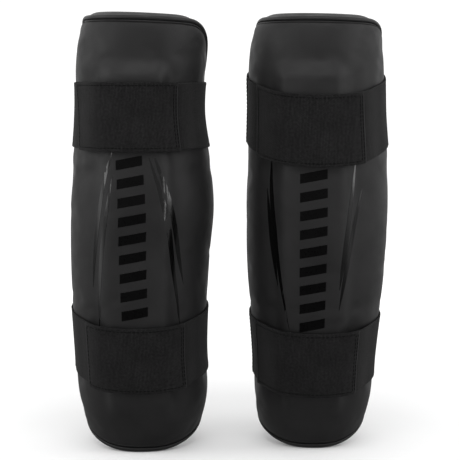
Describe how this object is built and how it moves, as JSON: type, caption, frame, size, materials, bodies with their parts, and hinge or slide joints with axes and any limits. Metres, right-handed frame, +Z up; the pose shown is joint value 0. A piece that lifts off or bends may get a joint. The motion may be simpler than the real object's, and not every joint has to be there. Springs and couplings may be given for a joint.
{
  "type": "padded shin guards",
  "caption": "Pair of curved foam shin guards in matte synthetic leather, each with a raised shin bar and two wraparound elastic hook-and-loop straps.",
  "frame": {"origin": "on the floor under the middle of the pair's bounding box", "axes": "+Z up along the guards' length, fronts towards -Y, +X to the right seen from the front"},
  "size_m": [0.2896, 0.1356, 0.3918],
  "materials": {
    "cover_leather": "matte black synthetic leather with a fine grain",
    "edge_leather": "matte black synthetic leather binding",
    "piping": "black synthetic leather bead",
    "gloss_print": "gloss black film",
    "dense_foam": "closed-cell foam",
    "soft_foam": "soft open-cell foam",
    "lining_fabric": "black knitted mesh lining",
    "elastic_webbing": "black woven elastic webbing with fine ribs",
    "loop_tape": "black brushed loop pile",
    "hook_tape": "black moulded hook tape",
    "thread": "black polyester thread"
  },
  "bodies": {
    "left_guard": {"left_cover": "cover_leather", "left_shin_bar": "dense_foam", "left_impact_foam": "dense_foam", "left_comfort_foam": "soft_foam", "left_lining": "lining_fabric", "left_edge_gusset": "edge_leather", "left_piping": "piping", "left_upper_loop_patch": "loop_tape", "left_upper_elastic_back": "elastic_webbing", "left_lower_loop_patch": "loop_tape", "left_lower_elastic_back": "elastic_webbing"},
    "left_upper_front_run": {"left_upper_elastic_front": "elastic_webbing"},
    "left_upper_tab": {"left_upper_strap_tab": "elastic_webbing", "left_upper_hook_patch": "hook_tape"},
    "left_lower_front_run": {"left_lower_elastic_front": "elastic_webbing"},
    "left_lower_tab": {"left_lower_strap_tab": "elastic_webbing", "left_lower_hook_patch": "hook_tape"},
    "right_guard": {"right_cover": "cover_leather", "right_shin_bar": "dense_foam", "right_impact_foam": "dense_foam", "right_comfort_foam": "soft_foam", "right_lining": "lining_fabric", "right_edge_gusset": "edge_leather", "right_piping": "piping", "right_upper_loop_patch": "loop_tape", "right_upper_elastic_back": "elastic_webbing", "right_lower_loop_patch": "loop_tape", "right_lower_elastic_back": "elastic_webbing"},
    "right_upper_front_run": {"right_upper_elastic_front": "elastic_webbing"},
    "right_upper_tab": {"right_upper_strap_tab": "elastic_webbing", "right_upper_hook_patch": "hook_tape"},
    "right_lower_front_run": {"right_lower_elastic_front": "elastic_webbing"},
    "right_lower_tab": {"right_lower_strap_tab": "elastic_webbing", "right_lower_hook_patch": "hook_tape"}
  },
  "joints": [
    {"name": "pair_apart", "type": "slide", "parent": "left_guard", "child": "right_guard", "axis": [1, 0, 0], "range_m": [0, 0.25]},
    {"name": "left_upper_swing", "type": "hinge", "parent": "left_guard", "child": "left_upper_front_run", "pos_m": [-0.01886, 0.00499, 0.3007], "axis": [-0.0561, 0.0222, 0.9982], "range_deg": [0, 60]},
    {"name": "left_upper_peel", "type": "hinge", "parent": "left_upper_front_run", "child": "left_upper_tab", "pos_m": [-0.04706, -0.05727, 0.29907], "axis": [-0.0366, 0.0646, 0.9972], "range_deg": [0, 80]},
    {"name": "left_lower_swing", "type": "hinge", "parent": "left_guard", "child": "left_lower_front_run", "pos_m": [-0.01888, 0.0048, 0.098], "axis": [0.0017, -0.0204, 0.9998], "range_deg": [0, 60]},
    {"name": "left_lower_peel", "type": "hinge", "parent": "left_lower_front_run", "child": "left_lower_tab", "pos_m": [-0.04176, -0.05289, 0.08883], "axis": [-0.0248, -0.0373, 0.999], "range_deg": [0, 80]},
    {"name": "right_upper_swing", "type": "hinge", "parent": "right_guard", "child": "right_upper_front_run", "pos_m": [0.14383, 0.0151, 0.30525], "axis": [-0.0438, 0.0232, 0.9988], "range_deg": [0, 110]},
    {"name": "right_upper_peel", "type": "hinge", "parent": "right_upper_front_run", "child": "right_upper_tab", "pos_m": [0.11343, -0.05092, 0.28888], "axis": [-0.0364, 0.0516, 0.998], "range_deg": [0, 80]},
    {"name": "right_lower_swing", "type": "hinge", "parent": "right_guard", "child": "right_lower_front_run", "pos_m": [0.1371, 0.01495, 0.0909], "axis": [0.0938, -0.0218, 0.9954], "range_deg": [0, 110]},
    {"name": "right_lower_peel", "type": "hinge", "parent": "right_lower_front_run", "child": "right_lower_tab", "pos_m": [0.10971, -0.04431, 0.08148], "axis": [0.0507, -0.0767, 0.9958], "range_deg": [0, 80]}
  ]
}
